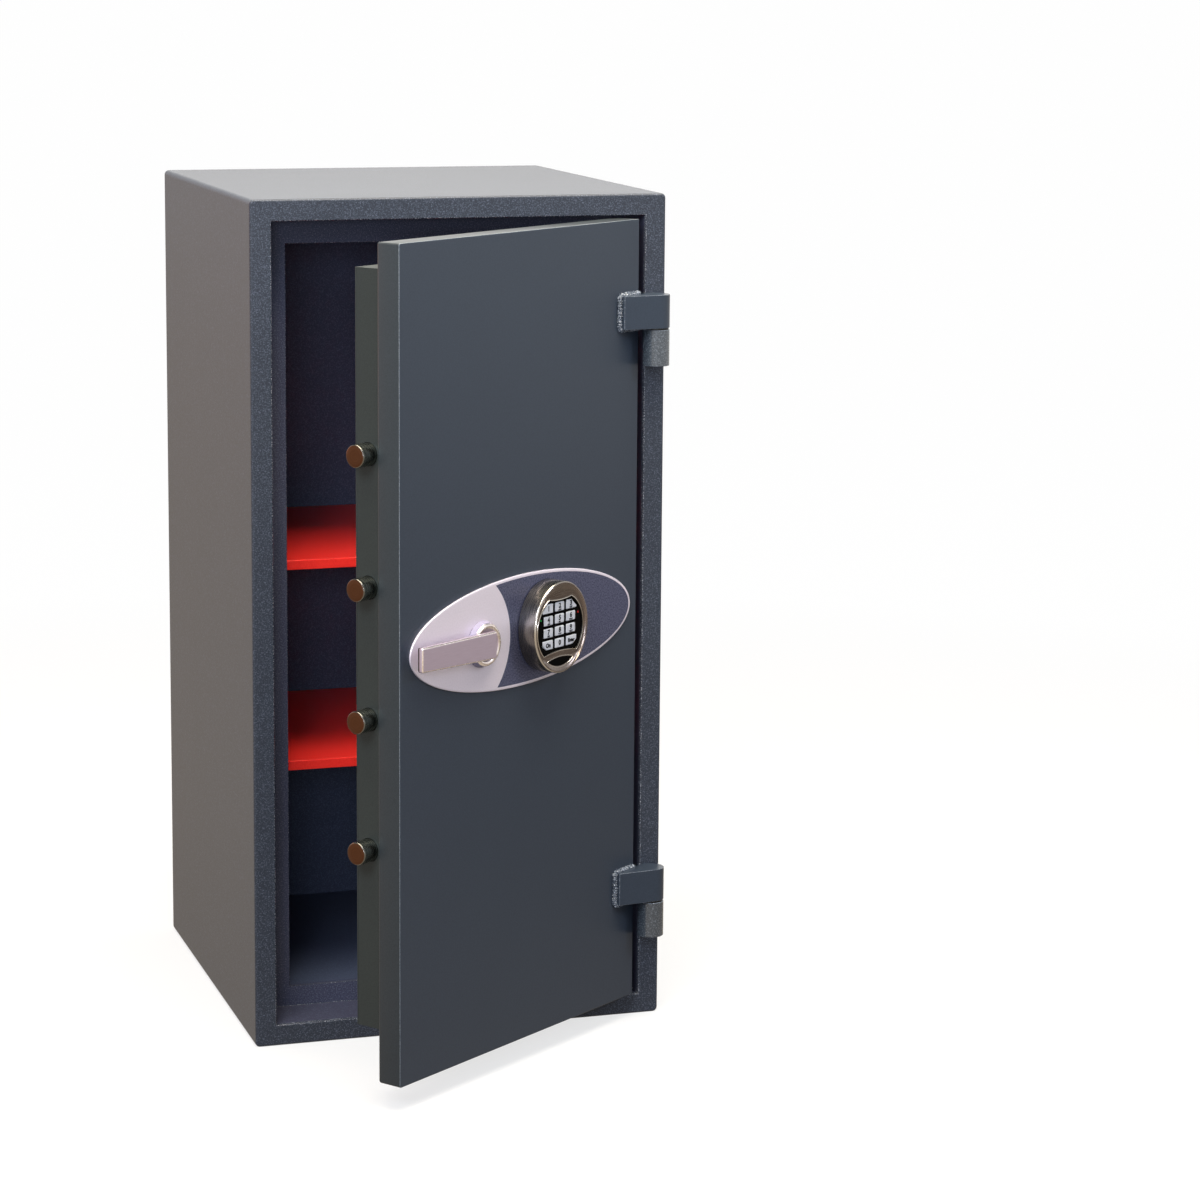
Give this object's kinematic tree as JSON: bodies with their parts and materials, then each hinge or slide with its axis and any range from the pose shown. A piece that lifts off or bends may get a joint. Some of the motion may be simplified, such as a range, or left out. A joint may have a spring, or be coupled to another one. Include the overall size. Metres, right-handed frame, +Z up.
{
  "type": "high-security safe",
  "caption": "Free-standing high-security safe with barrier-filled walls, a thick door on welded hinges, side locking bolts drawn by a lever, a round electronic keypad and red shelves.",
  "frame": {"origin": "middle of the cabinet's base, on the plane of its underside", "axes": "+X to the right as seen from the front, +Y from the front into the cabinet, +Z up; the door stands open by 36 degrees at rest"},
  "size_m": [0.425, 0.6759, 0.85],
  "materials": {
    "body_paint": "fine textured powder coat, graphite blue",
    "inside_paint": "fine textured powder coat, navy",
    "door_paint": "satin powder coat, slate",
    "shelf_paint": "gloss powder coat, red",
    "barrier": "cast barrier, rough",
    "steel": "turned steel",
    "cast_metal": "satin lacquered casting",
    "nickel": "brushed nickel plating",
    "silver_film": "silver printed plate",
    "zinc": "zinc plated steel",
    "black_plastic": "moulded, black",
    "key_rubber": "moulded, pale grey",
    "green_lens": "tinted lens, green",
    "red_lens": "tinted lens, red",
    "brass": "machined"
  },
  "bodies": {
    "cabinet": {"outer_shell": "body_paint", "barrier_fill": "barrier", "barrier_back": "barrier", "inner_liner": "inside_paint", "jamb_frame": "body_paint", "hinge_knuckle_upper": "body_paint", "hinge_knuckle_lower": "body_paint", "hinge_pin_upper": "steel", "hinge_pin_lower": "steel", "hinge_washer_upper": "steel", "hinge_washer_lower": "steel", "shelf_upper": "shelf_paint", "shelf_lower": "shelf_paint", "shelf_bracket_upper_left": "zinc", "shelf_bracket_upper_right": "zinc", "shelf_bracket_lower_left": "zinc", "shelf_bracket_lower_right": "zinc", "anchor_plug": "black_plastic"},
    "door": {"door_plate": "door_paint", "door_fill": "barrier", "boltwork_box": "door_paint", "boltwork_cover": "door_paint", "hinge_leaf_upper": "body_paint", "hinge_leaf_lower": "body_paint", "fixed_bolt_upper": "steel", "fixed_bolt_lower": "steel", "bolt_guide": "zinc", "lock_case": "zinc", "lock_cable": "black_plastic", "spindle_bushing": "brass", "handle_rosette": "cast_metal", "oval_plate": "silver_film", "keypad_housing": "nickel", "keypad_panel": "black_plastic", "battery_cover": "black_plastic", "led_green": "green_lens", "led_red": "red_lens"},
    "boltwork": {"locking_bolt_1": "steel", "locking_bolt_2": "steel", "locking_bolt_3": "steel", "locking_bolt_4": "steel", "bolt_carriage": "zinc"},
    "handle": {"lever_handle": "cast_metal", "handle_spindle": "steel", "drive_cam": "steel"},
    "lock_bolt": {"lock_bolt": "brass"},
    "button_1": {"key_1": "key_rubber"},
    "button_2": {"key_2": "key_rubber"},
    "button_3": {"key_3": "key_rubber"},
    "button_4": {"key_4": "key_rubber"},
    "button_5": {"key_5": "key_rubber"},
    "button_6": {"key_6": "key_rubber"},
    "button_7": {"key_7": "key_rubber"},
    "button_8": {"key_8": "key_rubber"},
    "button_9": {"key_9": "key_rubber"},
    "button_on": {"key_on": "key_rubber"},
    "button_0": {"key_0": "key_rubber"},
    "button_enter": {"key_enter": "key_rubber"}
  },
  "joints": [
    {"name": "door_swing", "type": "hinge", "parent": "cabinet", "child": "door", "pos_m": [0.1985, -0.2345, 0.4], "axis": [0, 0, 1], "range_deg": [-36, 144]},
    {"name": "handle_turn", "type": "hinge", "parent": "door", "child": "handle", "pos_m": [-0.02563, -0.37941, 0.4345], "axis": [-0.5878, 0.809, 0], "range_deg": [0, 90]},
    {"name": "bolt_throw", "type": "slide", "parent": "door", "child": "boltwork", "axis": [0.809, 0.5878, 0], "range_m": [0, 0.018]},
    {"name": "lock_bolt_drop", "type": "slide", "parent": "door", "child": "lock_bolt", "axis": [0, 0, 1], "range_m": [-0.01, 0]},
    {"name": "key_1_press", "type": "slide", "parent": "door", "child": "button_1", "axis": [-0.5878, 0.809, 0], "range_m": [0, 0.0012], "stiffness_N_per_m": 600},
    {"name": "key_2_press", "type": "slide", "parent": "door", "child": "button_2", "axis": [-0.5878, 0.809, 0], "range_m": [0, 0.0012], "stiffness_N_per_m": 600},
    {"name": "key_3_press", "type": "slide", "parent": "door", "child": "button_3", "axis": [-0.5878, 0.809, 0], "range_m": [0, 0.0012], "stiffness_N_per_m": 600},
    {"name": "key_4_press", "type": "slide", "parent": "door", "child": "button_4", "axis": [-0.5878, 0.809, 0], "range_m": [0, 0.0012], "stiffness_N_per_m": 600},
    {"name": "key_5_press", "type": "slide", "parent": "door", "child": "button_5", "axis": [-0.5878, 0.809, 0], "range_m": [0, 0.0012], "stiffness_N_per_m": 600},
    {"name": "key_6_press", "type": "slide", "parent": "door", "child": "button_6", "axis": [-0.5878, 0.809, 0], "range_m": [0, 0.0012], "stiffness_N_per_m": 600},
    {"name": "key_7_press", "type": "slide", "parent": "door", "child": "button_7", "axis": [-0.5878, 0.809, 0], "range_m": [0, 0.0012], "stiffness_N_per_m": 600},
    {"name": "key_8_press", "type": "slide", "parent": "door", "child": "button_8", "axis": [-0.5878, 0.809, 0], "range_m": [0, 0.0012], "stiffness_N_per_m": 600},
    {"name": "key_9_press", "type": "slide", "parent": "door", "child": "button_9", "axis": [-0.5878, 0.809, 0], "range_m": [0, 0.0012], "stiffness_N_per_m": 600},
    {"name": "key_on_press", "type": "slide", "parent": "door", "child": "button_on", "axis": [-0.5878, 0.809, 0], "range_m": [0, 0.0012], "stiffness_N_per_m": 600},
    {"name": "key_0_press", "type": "slide", "parent": "door", "child": "button_0", "axis": [-0.5878, 0.809, 0], "range_m": [0, 0.0012], "stiffness_N_per_m": 600},
    {"name": "key_enter_press", "type": "slide", "parent": "door", "child": "button_enter", "axis": [-0.5878, 0.809, 0], "range_m": [0, 0.0012], "stiffness_N_per_m": 600}
  ],
  "couplings": [
    {"joint": "bolt_throw", "follows": "handle_turn", "m_per_rad": 0.011459}
  ]
}
